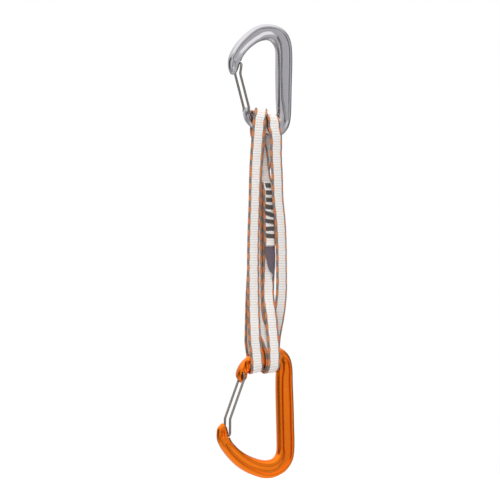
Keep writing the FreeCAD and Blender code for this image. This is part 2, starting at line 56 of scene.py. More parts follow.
# Each station crosses the bar from its outer to its inner edge: outer x, outer z, inner x, inner z, share
# of the full thickness, inner edge rounding, outer edge rounding, share of the recess depth.
UPPER_STATIONS = [
    (-32.4, -27.1, -29.0, -27.4, 0.30, 0.7, 0.8, 0.0),
    (-33.6, -24.9, -27.3, -25.7, 0.62, 2.2, 2.2, 0.0),
    (-34.4, -21.6, -26.0, -22.7, 0.75, 2.6, 2.8, 0.0),
    (-34.5, -18.0, -24.4, -18.9, 0.77, 2.6, 2.8, 0.0),
    (-33.7, -14.2, -22.8, -14.9, 0.84, 2.4, 1.6, 0.35),
    (-31.6, -9.8, -21.3, -12.4, 0.97, 2.2, 1.5, 0.5),
    (-26.2, -2.1, -18.0, -8.6, 1.0, 2.0, 1.6, 0.75),
    (-19.4, 4.4, -13.7, -5.1, 1.0, 2.2, 1.8, 0.9),
    (-11.6, 10.0, -8.4, -2.0, 1.0, 2.6, 2.0, 0.9),
    (-3.4, 12.7, -3.2, -0.3, 1.0, 3.6, 2.4, 0.7),
    (3.8, 12.7, 1.0, -0.1, 1.0, 3.8, 2.4, 0.6),
    (10.6, 11.0, 4.6, -1.8, 1.0, 3.4, 2.4, 0.7),
    (16.8, 6.6, 7.1, -4.9, 1.0, 2.8, 2.2, 0.9),
    (20.5, -0.4, 8.3, -8.6, 1.0, 1.9, 2.2, 1.0),
    (21.8, -9.5, 8.6, -13.5, 1.0, 1.4, 2.2, 1.0),
    (21.7, -27.0, 8.7, -27.0, 1.0, 1.0, 2.2, 1.0),
    (21.2, -45.0, 8.8, -45.0, 1.0, 1.4, 2.2, 0.9),
    (21.0, -54.5, 8.9, -53.5, 1.0, 2.6, 2.4, 0.7),
    (20.4, -62.2, 8.9, -58.6, 1.0, 4.2, 2.6, 0.5),
    (18.4, -69.0, 8.4, -61.2, 1.0, 4.4, 3.0, 0.25),
    (13.6, -74.4, 6.9, -61.7, 1.0, 4.0, 3.4, 0.0),
    (6.4, -76.4, 4.2, -60.9, 1.0, 4.0, 3.6, 0.0),
    (-2.0, -73.8, -0.4, -59.6, 1.0, 4.0, 3.6, 0.0),
    (-9.5, -71.0, -5.4, -58.7, 1.0, 4.0, 3.6, 0.0),
    (-15.4, -67.8, -9.8, -58.3, 1.0, 4.0, 2.6, 0.15),
    (-19.2, -63.0, -13.6, -57.7, 0.98, 2.4, 1.6, 0.5),
    (-20.5, -58.0, -15.3, -55.9, 0.90, 1.8, 1.4, 0.4),
    (-19.8, -54.6, -16.6, -53.5, 0.62, 1.2, 1.2, 0.0),
]


def smooth_rows(keys, rows):
    """A natural cubic spline through rows of values; gives a function of the key."""
    keys = np.asarray(keys, float)
    rows = np.asarray(rows, float)
    gaps = np.diff(keys)
    count = len(keys)
    system = np.eye(count)
    right = np.zeros_like(rows)
    for i in range(1, count - 1):
        system[i, i - 1:i + 2] = (gaps[i - 1], 2 * (gaps[i - 1] + gaps[i]), gaps[i])
        right[i] = 6 * ((rows[i + 1] - rows[i]) / gaps[i] - (rows[i] - rows[i - 1]) / gaps[i - 1])
    bend = np.linalg.solve(system, right)

    def value(key):
        i = int(np.clip(np.searchsorted(keys, key) - 1, 0, count - 2))
        gap = gaps[i]
        a = (keys[i + 1] - key) / gap
        b = (key - keys[i]) / gap
        curve = ((a ** 3 - a) * bend[i] + (b ** 3 - b) * bend[i + 1]) * gap * gap / 6
        return a * rows[i] + b * rows[i + 1] + curve

    return value


def smooth_step(value):
    share = np.clip(value, 0.0, 1.0)
    return share * share * (3.0 - 2.0 * share)


def bar_section(width, half, inner_round, outer_round, recess_share, recess):
    """Places across one section and the half thickness there, in runs that follow the forged edges.

    Where the recess runs out, its inner slope widens until the floor pinches off at the outer rim.
    """
    crest, inner_wall, outer_rim, outer_wall, depth = recess
    room = width - inner_round - outer_round
    least, most = 0.06 * room, 0.2 * room
    outer_wall = min(outer_wall, most)
    outer_rim *= 0.5 + 0.5 * recess_share
    rim = width - max(outer_round + least, min(outer_rim, outer_round + most))
    low = inner_round + min(crest, least)
    spare = rim - outer_wall - low
    inner_wall = min(inner_wall, 0.6 * spare)
    inner_wall += (1.0 - recess_share) * (0.96 * spare - inner_wall)
    depth *= smooth_step(1.5 * recess_share)
    quarter = np.linspace(0, math.pi / 2, 10)
    slope_end, wall_start = low + inner_wall, rim - outer_wall
    place = np.concatenate([
        inner_round * (1 - np.cos(quarter)), np.linspace(low, slope_end, 10),
        np.linspace(slope_end, wall_start, 5)[1:-1], np.linspace(wall_start, rim, 9),
        width - outer_round + outer_round * np.sin(quarter)])
    edge = np.clip(np.maximum(1 - place / inner_round, 1 - (width - place) / outer_round), 0, 1)
    rise = smooth_step((place - low) / inner_wall)
    fall = smooth_step((rim - place) / outer_wall)
    return place, half * np.sqrt(1 - edge * edge) - depth * rise * fall


def ring_faces(count, ring, base=0):
    """Faces of a closed run of rings: the four-sided ones between them, then one at each end."""
    faces = []
    for a in range(base, base + (count - 1) * ring, ring):
        for p in range(ring):
            q = (p + 1) % ring
            faces.append((a + p, a + q, a + ring + q, a + ring + p))
    faces.append(tuple(range(base, base + ring))[::-1])
    faces.append(tuple(range(base + (count - 1) * ring, base + count * ring)))
    return faces


RING_STEP = 0.5
# Each end is rounded off by smaller rings at these degrees of a dome this much as long as it is wide.
DOME_ANGLES = (25, 48, 68, 84)
DOME_LENGTH = 0.45


def forged_bar(stations, thickness, recess):
    """The bar of one carabiner: rings of points round its sections, with domed ends."""
    stations = np.array(stations, float)
    middle = (stations[:, 0:2] + stations[:, 2:4]) / 2
    along = np.concatenate([[0], np.cumsum(np.linalg.norm(np.diff(middle, axis=0), axis=1))])
    line = smooth_rows(along, stations[:, 0:4])
    keys = np.linspace(0, along[-1], int(along[-1] / RING_STEP) + 1)
    rings = []
    for key in keys:
        i = int(np.clip(np.searchsorted(along, key) - 1, 0, len(along) - 2))
        soft = smooth_step((key - along[i]) / (along[i + 1] - along[i]))
        sizes = stations[i, 4:8] + soft * (stations[i + 1, 4:8] - stations[i, 4:8])
        edges = line(key)
        outer, inner = edges[0:2], edges[2:4]
        width = np.linalg.norm(outer - inner)
        across = (outer - inner) / width
        half = thickness / 2 * sizes[0]
        inner_round, outer_round = np.minimum(sizes[1:3], width / 2)
        place, height = bar_section(width, half, inner_round, outer_round, sizes[3], recess)
        height[0] = height[-1] = 0.0
        x, z = inner[0] + across[0] * place, inner[1] + across[1] * place
        front = np.stack([x, -height, z], axis=1)
        back = np.stack([x, height, z], axis=1)[-2:0:-1]
        rings.append(np.concatenate([front, back]))
    for last, before in ((0, 1), (-1, -2)):
        centre = rings[last].mean(axis=0)
        forward = centre - rings[before].mean(axis=0)
        forward = forward / np.linalg.norm(forward)
        reach = DOME_LENGTH * (rings[last][:, 1].max() - rings[last][:, 1].min()) / 2
        caps = []
        for angle in DOME_ANGLES:
            a = math.radians(angle)
            caps.append(centre + (rings[last] - centre) * math.cos(a) + forward * reach * math.sin(a))
        rings = caps[::-1] + rings if last == 0 else rings + caps
    bar = bmesh.new()
    corners = [bar.verts.new(Vector(point) * MM) for ring in rings for point in ring]
    for face in ring_faces(len(rings), len(rings[0])):
        bar.faces.new([corners[p] for p in face])
    bmesh.ops.recalc_face_normals(bar, faces=bar.faces)
    return bar


DRUM_SIDES = 48
# Edges that turn by more degrees than this are shaded sharp.
SHARP_ANGLE = 50


def drum(cutters, place, radius, reach, side=1):
    """A round cutter along Y, from its place outwards to one side."""
    turned = Matrix.Translation(Vector(place) * MM + Vector((0, side * reach / 2 * MM, 0)))
    turned = turned @ Matrix.Rotation(math.radians(90), 4, "X")
    bmesh.ops.create_cone(cutters, cap_ends=True, segments=DRUM_SIDES, radius1=radius * MM,
                          radius2=radius * MM, depth=reach * MM, matrix=turned)


def block(cutters, low, high, angle, place):
    """A box cutter between two corners, turned about Y by an angle and set at its place."""
    low, high = Vector(low), Vector(high)
    size = Matrix.Diagonal((*((high - low) * MM), 1))
    turned = Matrix.Translation(Vector(place) * MM) @ Matrix.Rotation(math.radians(-angle), 4, "Y")
    bmesh.ops.create_cube(cutters, size=1.0, matrix=turned @ Matrix.Translation((low + high) / 2 * MM) @ size)


def new_object(name, data):
    """An object for a mesh, a camera or a lamp, linked into the scene."""
    made = bpy.data.objects.new(name, data)
    bpy.context.scene.collection.objects.link(made)
    return made


def cut_out(bar, cutters, name):
    """The bar with its machined cuts taken out, as a mesh object."""
    pieces = []
    for source, label in ((bar, name), (cutters, name + "_cutters")):
        mesh = bpy.data.meshes.new(label)
        bmesh.ops.recalc_face_normals(source, faces=source.faces)
        source.to_mesh(mesh)
        source.free()
        pieces.append(new_object(label, mesh))
    body, tool = pieces
    cut = body.modifiers.new("cuts", "BOOLEAN")
    cut.operation = "DIFFERENCE"
    cut.solver = "EXACT"
    cut.use_self = True
    cut.object = tool
    bpy.context.view_layer.update()
    result = bpy.data.meshes.new_from_object(body.evaluated_get(bpy.context.evaluated_depsgraph_get()))
    body.modifiers.clear()
    body.data = result
    result.name = name
    bpy.data.objects.remove(tool)
    result.polygons.foreach_set("use_smooth", [True] * len(result.polygons))
    result.set_sharp_from_angle(angle=math.radians(SHARP_ANGLE))
    return body


# The gate's wire, and the room round it in the bar for its pivots, its legs and the end of its loop.
WIRE_RADIUS = 0.95
PIVOT_DEPTH = 2.9
PIVOT_BEND = 1.6
PIVOT_CLEARANCE = 0.05
HOLE_END = 0.2
BEND_CLEARANCE = 0.1
BEND_ROOM = 0.3
LEG_CLEARANCE = 0.3
LEG_ROOM = 0.4
HOOK_ROOM = 0.55
HINGE_FLOOR = 3.1
LEG_Y = HINGE_FLOOR + LEG_CLEARANCE + WIRE_RADIUS
HINGE_REACH = 16.0
GATE_OPENING = 32.0
SWEEP_STEPS = 8
# How far the two dishes turn to face the gate's side, in degrees.
DISH_TURN = 21
# The gate's line from its pivot to the end of its loop. Then the two dishes: x and z of the middle, tilt,
# share of the thickness at which it lies, half sizes.
UPPER_GATE = [(-18.4, -57.6), (-18.5, -53.4), (-26.2, -27.0), (-24.9, -18.7)]
UPPER_POCKET = (-31.2, -20.2, 8, 0.78, (1.5, 1.15, 3.4))
UPPER_SCOOP = (-15.2, -61.4, -24, 1.0, (1.9, 1.4, 4.2))


def gate_cuts(gate, opening, pocket, scoop, thickness):
    """Pivot holes, room for the legs, the hook's slot, and the dishes on the nose and beside the pivots."""
    cutters = bmesh.new()
    pivot_x, pivot_z = gate[0]
    headings = [math.degrees(math.atan2(z - pivot_z, x - pivot_x)) for x, z in (gate[1], gate[2])]
    headings += [heading - opening for heading in headings]
    room = WIRE_RADIUS + LEG_ROOM
    beyond = 6
    for side in (-1, 1):
        hole = (pivot_x, side * (LEG_Y - PIVOT_DEPTH - WIRE_RADIUS - HOLE_END), pivot_z)
        drum(cutters, hole, WIRE_RADIUS + PIVOT_CLEARANCE, 2.0 * beyond, side)
        bend = (pivot_x, side * (LEG_Y - PIVOT_BEND - BEND_CLEARANCE), pivot_z)
        drum(cutters, bend, room + BEND_ROOM, beyond, side)
        base = (pivot_x, side * HINGE_FLOOR, pivot_z)
        low, high = sorted((0, side * beyond))
        for heading in headings:
            block(cutters, (0, low, -room), (HINGE_REACH, high, room), heading, base)
        swept = [base]
        for step in range(SWEEP_STEPS + 1):
            a = math.radians(min(headings) + (max(headings) - min(headings)) * step / SWEEP_STEPS)
            swept.append((pivot_x + HINGE_REACH * math.cos(a), base[1], pivot_z + HINGE_REACH * math.sin(a)))
        near = [cutters.verts.new(Vector(p) * MM) for p in swept]
        far = [cutters.verts.new((Vector(p) + Vector((0, side * beyond, 0))) * MM) for p in swept]
        cutters.faces.new(near)
        cutters.faces.new(far[::-1])
        for p in range(len(swept)):
            q = (p + 1) % len(swept)
            cutters.faces.new((near[p], far[p], far[q], near[q]))
        for x, z, tilt, share, size in (pocket, scoop):
            tilted = Matrix.Rotation(math.radians(tilt), 4, "Y")
            turned = tilted @ Matrix.Rotation(math.radians(-side * DISH_TURN), 4, "Z")
            there = Matrix.Translation(Vector((x, side * thickness / 2 * share, z)) * MM)
            bmesh.ops.create_uvsphere(cutters, u_segments=48, v_segments=24, radius=MM,
                                      matrix=there @ turned @ Matrix.Diagonal((*size, 1)))
    end_x, end_z = gate[3]
    slot = WIRE_RADIUS + HOOK_ROOM
    half, length = 7.0, 9.0
    drum(cutters, (end_x, -half, end_z), slot, 2 * half)
    block(cutters, (0, -half, -slot), (length, half, slot), 0, (end_x, 0, end_z))
    return cutters


upper_bar = forged_bar(UPPER_STATIONS, UPPER_THICKNESS, UPPER_RECESS)
upper_cuts = gate_cuts(UPPER_GATE, GATE_OPENING, UPPER_POCKET, UPPER_SCOOP, UPPER_THICKNESS)
upper_body = cut_out(upper_bar, upper_cuts, "upper_carabiner_body")
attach(upper_body, "upper_carabiner")
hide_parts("upper_body")


def linear(hex_colour):
    """An sRGB hex colour as the linear RGBA that the shaders take."""
    channels = [int(hex_colour[i:i + 2], 16) / 255 for i in (1, 3, 5)]
    return [c / 12.92 if c <= 0.04045 else ((c + 0.055) / 1.055) ** 2.4 for c in channels] + [1.0]


def new_material(name):
    material = bpy.data.materials.new(name)
    material.use_nodes = True
    material.node_tree.nodes.clear()
    return material


def add(material, kind, inputs=None, **settings):
    """Adds a shader node with its settings and links; an input is a value, a node or one of its outputs."""
    node = material.node_tree.nodes.new("ShaderNode" + kind)
    for name, value in settings.items():
        setattr(node, name, value)
    for socket, value in (inputs or {}).items():
        if isinstance(value, bpy.types.Node):
            value = value.outputs[0]
        if isinstance(value, bpy.types.NodeSocket):
            material.node_tree.links.new(value, node.inputs[socket])
        else:
            node.inputs[socket].default_value = value
    return node


# Anodised aluminium: the clear oxide over a tumbled skin. A mirror broken up by 0.35 mm tumbling dents and
# a slow change of gloss along the bar, with a few fine rub marks where ropes and bolts wear it.
def anodised_aluminium(name, colour, worn_colour, roughness, coat):
    material = new_material(name)
    place = add(material, "TexCoord")
    dents = add(material, "TexNoise", {
        "Vector": place.outputs["Object"], "Scale": 1 / (0.35 * MM), "Detail": 2.0, "Roughness": 0.5})
    clouds = add(material, "TexNoise", {
        "Vector": place.outputs["Object"], "Scale": 1 / (14 * MM), "Detail": 3.0, "Roughness": 0.5})
    stretched = add(material, "Mapping", {
        "Vector": place.outputs["Object"], "Scale": (1.0, 6.0, 1.0), "Rotation": (0.4, 0.9, 0.3)})
    rubs = add(material, "TexNoise", {
        "Vector": stretched, "Scale": 1 / (5 * MM), "Detail": 6.0, "Roughness": 0.7})
    marks = add(material, "MapRange", {"Value": rubs, "From Min": 0.60, "From Max": 0.72, "To Max": 0.45})
    tint = add(material, "Mix", {0: marks, 6: linear(colour), 7: linear(worn_colour)}, data_type="RGBA")
    gloss = add(material, "MapRange", {
        "Value": clouds, "From Min": 0.3, "From Max": 0.7, "To Min": roughness - 0.03,
        "To Max": roughness + 0.04})
    bump = add(material, "Bump", {"Height": dents, "Strength": 0.12, "Distance": 0.02 * MM})
    metal = add(material, "BsdfPrincipled", {
        "Base Color": tint.outputs[2], "Metallic": 1.0, "Roughness": gloss, "Normal": bump,
        "Coat Weight": coat, "Coat Roughness": 0.12})
    add(material, "OutputMaterial", {"Surface": metal})
    return material


silver_finish = anodised_aluminium("clear_anodised_aluminium", "#CFCDD2", "#DAD8DB", 0.20, 0.0)
upper_body.data.materials.append(silver_finish)

# ---- lower carabiner body ----------------------------------------------------------------------------
# The rope end: the same forging one size larger and a little thicker, with a wide rope basket whose web
# is only shallow. The pores of its oxide hold an orange dye, so it reflects the studio in orange.
LOWER_THICKNESS = 8.2
LOWER_RECESS = (0.15, 2.6, 3.4, 1.0, 1.4)
LOWER_STATIONS = [
    (-40.9, -302.3, -39.0, -302.0, 0.30, 0.8, 0.8, 0.0),
    (-43.2, -304.6, -36.9, -303.7, 0.62, 2.4, 2.4, 0.0),
    (-44.5, -308.6, -35.4, -307.2, 0.73, 2.8, 3.0, 0.0),
    (-44.5, -312.8, -34.0, -311.4, 0.75, 2.8, 3.0, 0.0),
    (-43.2, -317.0, -32.3, -315.3, 0.84, 2.8, 2.8, 0.0),
    (-40.4, -321.6, -29.8, -318.4, 0.97, 2.6, 2.6, 0.4),
    (-34.6, -328.6, -25.0, -322.6, 1.0, 3.0, 2.6, 0.6),
    (-26.6, -335.8, -19.4, -326.1, 1.0, 3.6, 2.8, 0.5),
    (-17.4, -341.2, -12.6, -329.1, 1.0, 4.1, 3.0, 0.45),
    (-7.6, -344.9, -5.4, -331.1, 1.0, 4.1, 3.0, 0.4),
    (1.0, -346.2, 0.2, -331.5, 1.0, 4.1, 3.0, 0.4),
    (9.8, -344.3, 4.6, -330.5, 1.0, 4.1, 3.0, 0.45),
    (17.4, -339.4, 7.6, -328.0, 1.0, 3.6, 2.8, 0.6),
    (22.2, -332.2, 9.1, -324.4, 1.0, 3.0, 2.4, 0.8),
    (23.8, -323.5, 9.4, -319.0, 1.0, 2.4, 2.4, 1.0),
    (23.7, -308.0, 9.2, -307.0, 1.0, 2.2, 2.4, 1.0),
    (23.0, -285.0, 8.6, -285.0, 1.0, 2.2, 2.4, 1.0),
    (22.3, -266.5, 8.4, -267.5, 1.0, 2.4, 2.4, 1.0),
    (21.8, -257.5, 8.5, -261.0, 1.0, 3.2, 2.6, 0.8),
    (19.4, -249.8, 8.0, -258.2, 1.0, 4.0, 2.8, 0.5),
    (14.2, -244.4, 6.5, -257.0, 1.0, 4.1, 3.2, 0.2),
    (7.0, -241.8, 4.0, -257.5, 1.0, 4.1, 3.6, 0.0),
    (-1.5, -242.2, -0.2, -258.6, 1.0, 4.1, 3.6, 0.0),
    (-9.6, -245.2, -5.6, -259.3, 1.0, 4.1, 3.6, 0.0),
    (-17.0, -249.3, -11.2, -260.0, 1.0, 4.1, 2.8, 0.15),
    (-23.2, -254.9, -15.6, -260.8, 1.0, 2.6, 1.8, 0.5),
    (-26.6, -261.2, -18.4, -263.6, 0.98, 2.2, 1.6, 0.5),
    (-26.4, -266.2, -19.4, -267.4, 0.86, 2.0, 1.6, 0.3),
    (-24.3, -268.9, -21.6, -269.0, 0.62, 1.1, 1.1, 0.0),
]
LOWER_GATE = [(-23.0, -262.4), (-22.6, -266.9), (-35.2, -298.2), (-35.3, -311.4)]
LOWER_POCKET = (-40.7, -309.2, -4, 0.75, (1.6, 1.25, 4.2))
LOWER_SCOOP = (-20.0, -256.4, -4, 1.0, (2.4, 1.6, 5.2))
lower_bar = forged_bar(LOWER_STATIONS, LOWER_THICKNESS, LOWER_RECESS)
lower_cuts = gate_cuts(LOWER_GATE, -GATE_OPENING, LOWER_POCKET, LOWER_SCOOP, LOWER_THICKNESS)
lower_body = cut_out(lower_bar, lower_cuts, "lower_carabiner_body")
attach(lower_body, "lower_carabiner")
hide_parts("lower_body")
orange_finish = anodised_aluminium("orange_anodised_aluminium", "#FF8019", "#FF9B4B", 0.26, 0.08)
lower_body.data.materials.append(orange_finish)

# ---- wire gates --------------------------------------------------------------------------------------
# Each gate is one length of 1.9 mm stainless spring wire bent to a loop, and is its own spring. Its two
# ends turn in and sit in blind holes in the bar, which are on one line here, so that it turns about it.


def rounded_path(corners, radii, arc_step=10):
    """Points along straight runs joined by tangent arcs at the corners between the ends."""
    corners = [np.array(corner, float) for corner in corners]
    path = [corners[0]]
    for before, corner, after, radius in zip(corners, corners[1:], corners[2:], radii):
        one = (before - corner) / np.linalg.norm(before - corner)
        two = (after - corner) / np.linalg.norm(after - corner)
        half = math.acos(np.clip(one @ two, -1, 1)) / 2
        middle = (one + two) / np.linalg.norm(one + two)
        centre = corner + middle * radius / math.sin(half)
        start = corner + one * radius / math.tan(half) - centre
        end = corner + two * radius / math.tan(half) - centre
        sweep = math.pi - 2 * half
        steps = max(2, int(math.degrees(sweep) / arc_step) + 1)
        for step in range(steps + 1):
            share = step / steps
            spot = (start * math.sin((1 - share) * sweep) + end * math.sin(share * sweep)) / math.sin(sweep)
            path.append(centre + spot)
    path.append(corners[-1])
    return np.array(path)


def tube(path, radius, sides):
    """Points and faces of a round tube along a path, without twist, closed at both ends."""
    path = np.asarray(path, float)
    tangent = np.gradient(path, axis=0)
    tangent /= np.linalg.norm(tangent, axis=1)[:, None]
    askew = (0.3, 0.5, 0.8)
    normal = np.cross(tangent[0], askew)
    points = []
    for spot, along in zip(path, tangent):
        normal = normal - along * (normal @ along)
        normal = normal / np.linalg.norm(normal)
        side = np.cross(along, normal)
        angles = 2 * np.pi * np.arange(sides) / sides
        points.append(spot + radius * (np.cos(angles)[:, None] * normal + np.sin(angles)[:, None] * side))
    return np.concatenate(points), ring_faces(len(path), sides)


def new_piece(name, points, faces, weave=None):
    """A mesh object from points in millimetres, smooth on its four-sided faces; the weave's place is kept."""
    mesh = bpy.data.meshes.new(name)
    mesh.from_pydata((points * MM).tolist(), [], faces)
    if weave is not None:
        attribute = mesh.attributes.new("weave", "FLOAT_VECTOR", "POINT")
        attribute.data.foreach_set("vector", weave.astype(np.float32).ravel())
    mesh.polygons.foreach_set("use_smooth", [len(face) == 4 for face in faces])
    mesh.update()
    return new_object(name, mesh)


def joined_piece(name, parts):
    """One piece from several (points, faces) parts."""
    faces, base = [], 0
    for points, part_faces in parts:
        faces += [tuple(base + corner for corner in face) for face in part_faces]
        base += len(points)
    return new_piece(name, np.concatenate([points for points, _ in parts]), faces)


# Radii of one leg's bends: at the pivot, the elbow by the pivot, the bend by the nose, the loop's corner.
GATE_BENDS = [PIVOT_BEND, 5.0, 6.0, 2.2]
WIRE_STEP = 1.0
WIRE_SIDES = 24


def gate_loop(name, gate):
    """The bent wire: pivot end, leg, flat end of the loop in the hook, the other leg and pivot end."""
    points = []
    inner = LEG_Y - PIVOT_DEPTH - WIRE_RADIUS
    for side in (-1, 1):
        leg = [(gate[0][0], side * inner, gate[0][1])] + [(x, side * LEG_Y, z) for x, z in gate]
        points += leg if side < 0 else leg[::-1]
    path = rounded_path(points, GATE_BENDS + GATE_BENDS[::-1])
    close = [path[0]]
    for spot in path[1:]:
        steps = max(1, int(np.linalg.norm(spot - close[-1]) / WIRE_STEP))
        start = close[-1]
        close += [start + (spot - start) * (step + 1) / steps for step in range(steps)]
    return joined_piece(name, [tube(close, WIRE_RADIUS, WIRE_SIDES)])


# Drawn stainless spring wire: the die leaves fine lines along it, so it shines as a streak down each leg
# and looks warm grey; the lines are drawn 0.3 mm apart, coarser than real ones.
drawn_stainless = new_material("drawn_stainless_wire")
wire_place = add(drawn_stainless, "TexCoord")
wire_lines = add(drawn_stainless, "Mapping", {
    "Vector": wire_place.outputs["Object"], "Scale": (1.0, 1.0, 0.06)})
wire_scratch = add(drawn_stainless, "TexNoise", {
    "Vector": wire_lines, "Scale": 1 / (0.3 * MM), "Detail": 3.0})
wire_tint = add(drawn_stainless, "Mix", {
    0: wire_scratch, 6: linear("#8E8782"), 7: linear("#B2ABA5")}, data_type="RGBA")
wire_bump = add(drawn_stainless, "Bump", {"Height": wire_scratch, "Strength": 0.15, "Distance": 0.01 * MM})
wire_metal = add(drawn_stainless, "BsdfPrincipled", {
    "Base Color": wire_tint.outputs[2], "Metallic": 1.0, "Roughness": 0.30, "Normal": wire_bump})
add(drawn_stainless, "OutputMaterial", {"Surface": wire_metal})
for gate_name, gate_points in (("upper_gate", UPPER_GATE), ("lower_gate", LOWER_GATE)):
    loop = gate_loop(gate_name + "_loop", gate_points)
    loop.data.materials.append(drawn_stainless)
    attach(loop, gate_name)
    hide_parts(gate_name + "_wire")

# ---- sling -------------------------------------------------------------------------------------------
# A 600 mm sling: one flat-woven band of white polyethylene tape 11 mm wide, sewn end to end and folded in
# three, so that three bights go over each bar and six strands hang between them. Orange and grey warp
# yarns run along both selvedges; the weft shows as ribs across the white middle.
TAPE_WIDTH = 11.0
TAPE_THICKNESS = 1.7
TAPE_CLEARANCE = 0.3
LAYER = TAPE_THICKNESS + TAPE_CLEARANCE
UP_IN = (UPPER_THICKNESS / 2 + TAPE_CLEARANCE + TAPE_THICKNESS / 2) / LAYER
UP_OUT = UP_IN + 1.0
LOW_IN = (LOWER_THICKNESS / 2 + TAPE_CLEARANCE + TAPE_THICKNESS / 2) / LAYER
LOW_OUT = LOW_IN + 1.0
# Bights over the bars: x of the ridge, z of the bar-side face there, slope of the ridge, x drift of the
# front leg and of the back leg from the ridge, layer.
UPPER_BIGHTS = {
    "left": (-5.3, -55.3, -0.08, -5.2, 5.2, UP_OUT + 0.1),
    "right": (3.05, -59.55, -0.12, 0.4, 2.2, UP_IN),
    "inner": (-8.6, -57.5, -0.13, -0.4, 1.6, UP_IN),
}
LOWER_BIGHTS = {
    "left": (-10.6, -261.0, 0.18, -1.0, 1.0, LOW_IN),
    "right": (2.4, -261.2, 0.12, 0.0, 0.0, LOW_OUT),
    "inner": (1.8, -258.9, 0.20, 0.0, 0.0, LOW_IN),
}
# The six strands between the bights, named for where they run. Rows: z, x, depth in layers and, where the
# tape's face is turned, by how many degrees. The first and last rows lie beside the two bars.
STRANDS = {
    "front_left": [
        (-68, -11.4, -UP_OUT - 0.1), (-76, -12.0, -3.55), (-88, -12.4, -2.95), (-104, -13.1, -2.55, 3),
        (-126, -13.9, -2.55, 7), (-150, -14.7, -2.5, 6), (-175, -15.0, -2.4, 4), (-200, -14.8, -2.38, 2),
        (-220, -14.5, -2.55), (-232, -14.3, -2.9), (-238, -13.9, -2.8), (-245, -12.7, -LOW_IN),
        (-252, -12.0, -LOW_IN),
    ],
    "behind_left": [
        (-68, -9.0, -UP_IN), (-76, -9.3, -2.45), (-88, -10.1, -1.85), (-104, -11.1, -1.3),
        (-126, -11.6, -1.2), (-150, -11.7, -1.2), (-175, -11.5, -1.2), (-200, -11.1, -1.2),
        (-214, -10.5, -1.25), (-220, -9.4, -1.3), (-226, -7.2, -1.45), (-232, -4.4, -1.7),
        (-236, -2.6, -1.95), (-240, -1.0, -2.35), (-247, 1.1, -LOW_IN), (-252, 1.7, -LOW_IN),
    ],
    "right": [
        (-68, 3.5, -UP_IN), (-76, 5.2, -2.62, 3), (-88, 5.8, -2.15, 6), (-104, 7.0, -1.8, 8),
        (-126, 8.2, -1.5, 9), (-140, 10.0, -1.35, 10), (-158, 11.4, -1.15, 12), (-186, 12.0, -1.0, 13),
        (-197, 12.1, -0.85, 12), (-204, 12.0, -0.5, 10), (-214, 11.6, 0.4, 6), (-224, 11.1, 1.75, 3),
        (-232, 10.7, 3.1), (-238, 10.3, 3.55), (-245, 9.4, LOW_OUT), (-252, 6.4, LOW_OUT),
    ],
    "middle": [
        (-68, -6.9, UP_IN), (-74, -6.8, 2.48), (-80, -5.6, 1.7), (-86, -4.0, 1.2), (-92, -3.3, 0.95),
        (-104, -2.2, 0.68), (-116, 0.6, 0.62), (-140, 1.8, 0.65), (-158, 2.3, 0.6), (-180, 1.9, 0.35),
        (-195, 1.0, 0.1), (-204, 0.5, -0.6), (-213, 0.9, -1.65), (-220, 1.2, -2.4), (-228, 1.5, -2.85),
        (-236, 1.9, -3.35), (-244, 2.3, -LOW_OUT), (-252, 2.4, -LOW_OUT),
    ],
    "back_left": [
        (-68, 5.3, UP_IN), (-74, 5.4, 2.7), (-80, 5.2, 2.85), (-86, 4.1, 2.65), (-92, 2.5, 2.45),
        (-104, -1.0, 2.08), (-116, -4.4, 1.85), (-132, -7.6, 1.75), (-158, -9.7, 1.55), (-186, -11.0, 1.5),
        (-204, -12.1, 1.45), (-222, -12.6, 1.45), (-230, -12.8, 1.5), (-236, -12.5, 1.9), (-240, -11.9, 2.35),
        (-245, -10.8, LOW_IN), (-252, -9.8, LOW_IN),
    ],
    "back_right": [
        (-68, -0.6, UP_OUT + 0.1), (-78, -1.3, 3.88), (-86, -2.3, 3.75), (-92, -3.2, 3.52),
        (-104, -5.5, 3.13), (-116, -6.7, 2.9), (-132, -7.0, 2.8), (-158, -6.7, 2.65), (-180, -6.3, 2.6),
        (-204, -5.2, 2.55), (-222, -3.3, 2.55), (-230, -2.2, 2.56), (-236, -0.9, 2.58), (-244, 1.1, LOW_IN),
        (-252, 1.7, LOW_IN),
    ],
}
# Each bight joins the strand on its front to the strand on its back.
UPPER_JOINS = {
    "left": ("front_left", "back_right"),
    "right": ("right", "back_left"),
    "inner": ("behind_left", "middle"),
}
LOWER_JOINS = {
    "left": ("front_left", "back_left"),
    "right": ("middle", "right"),
    "inner": ("behind_left", "back_right"),
}
UPPER_CUT = -104.0
LOWER_CUT = -213.0
# How far a strip's line is followed past its cut, and how near the cut its last row may lie.
CUT_OVERRUN = 4.0
CUT_SNAP = 0.25
# Sections along one strand, along one leg of a bight, and steps round its arch.
STRAND_SECTIONS = 22
LEG_SECTIONS = 10
ARCH_STEPS = 8
EDGE_ROUND = 0.8
STRIPE_EDGE = 3.45
STRIPE_BLEND = 0.3
# The weave: ribs across the middle, cords along the stripes, and the picks that cross the cords. A rib is
# flat over this share of its width and swells a little there; the whole relief sinks into the plain tape.
RIB_PITCH = 2.05
RIB_DEPTH = 0.13
RIB_FLAT = 0.62
RIB_SWELL = 0.03
RELIEF_SINK = 0.04
CORD_PITCH = 0.95
CORD_DEPTH = 0.14
PICK_HEIGHT = 0.05
ROW_STEP = RIB_PITCH / 6

strand_lines = {}
for name, rows in STRANDS.items():
    places = [(x, depth * LAYER, sum(turn)) for _, x, depth, *turn in rows]
    strand_lines[name] = smooth_rows([-row[0] for row in rows], places)


def strand_section(name, z):
    """Centre, width direction and face direction of a strand at one height, as nine numbers."""
    x, y, turn = strand_lines[name](-z)
    c, s = math.cos(math.radians(turn)), math.sin(math.radians(turn))
    return [x, y, z, c, s, 0, -s, c, 0]


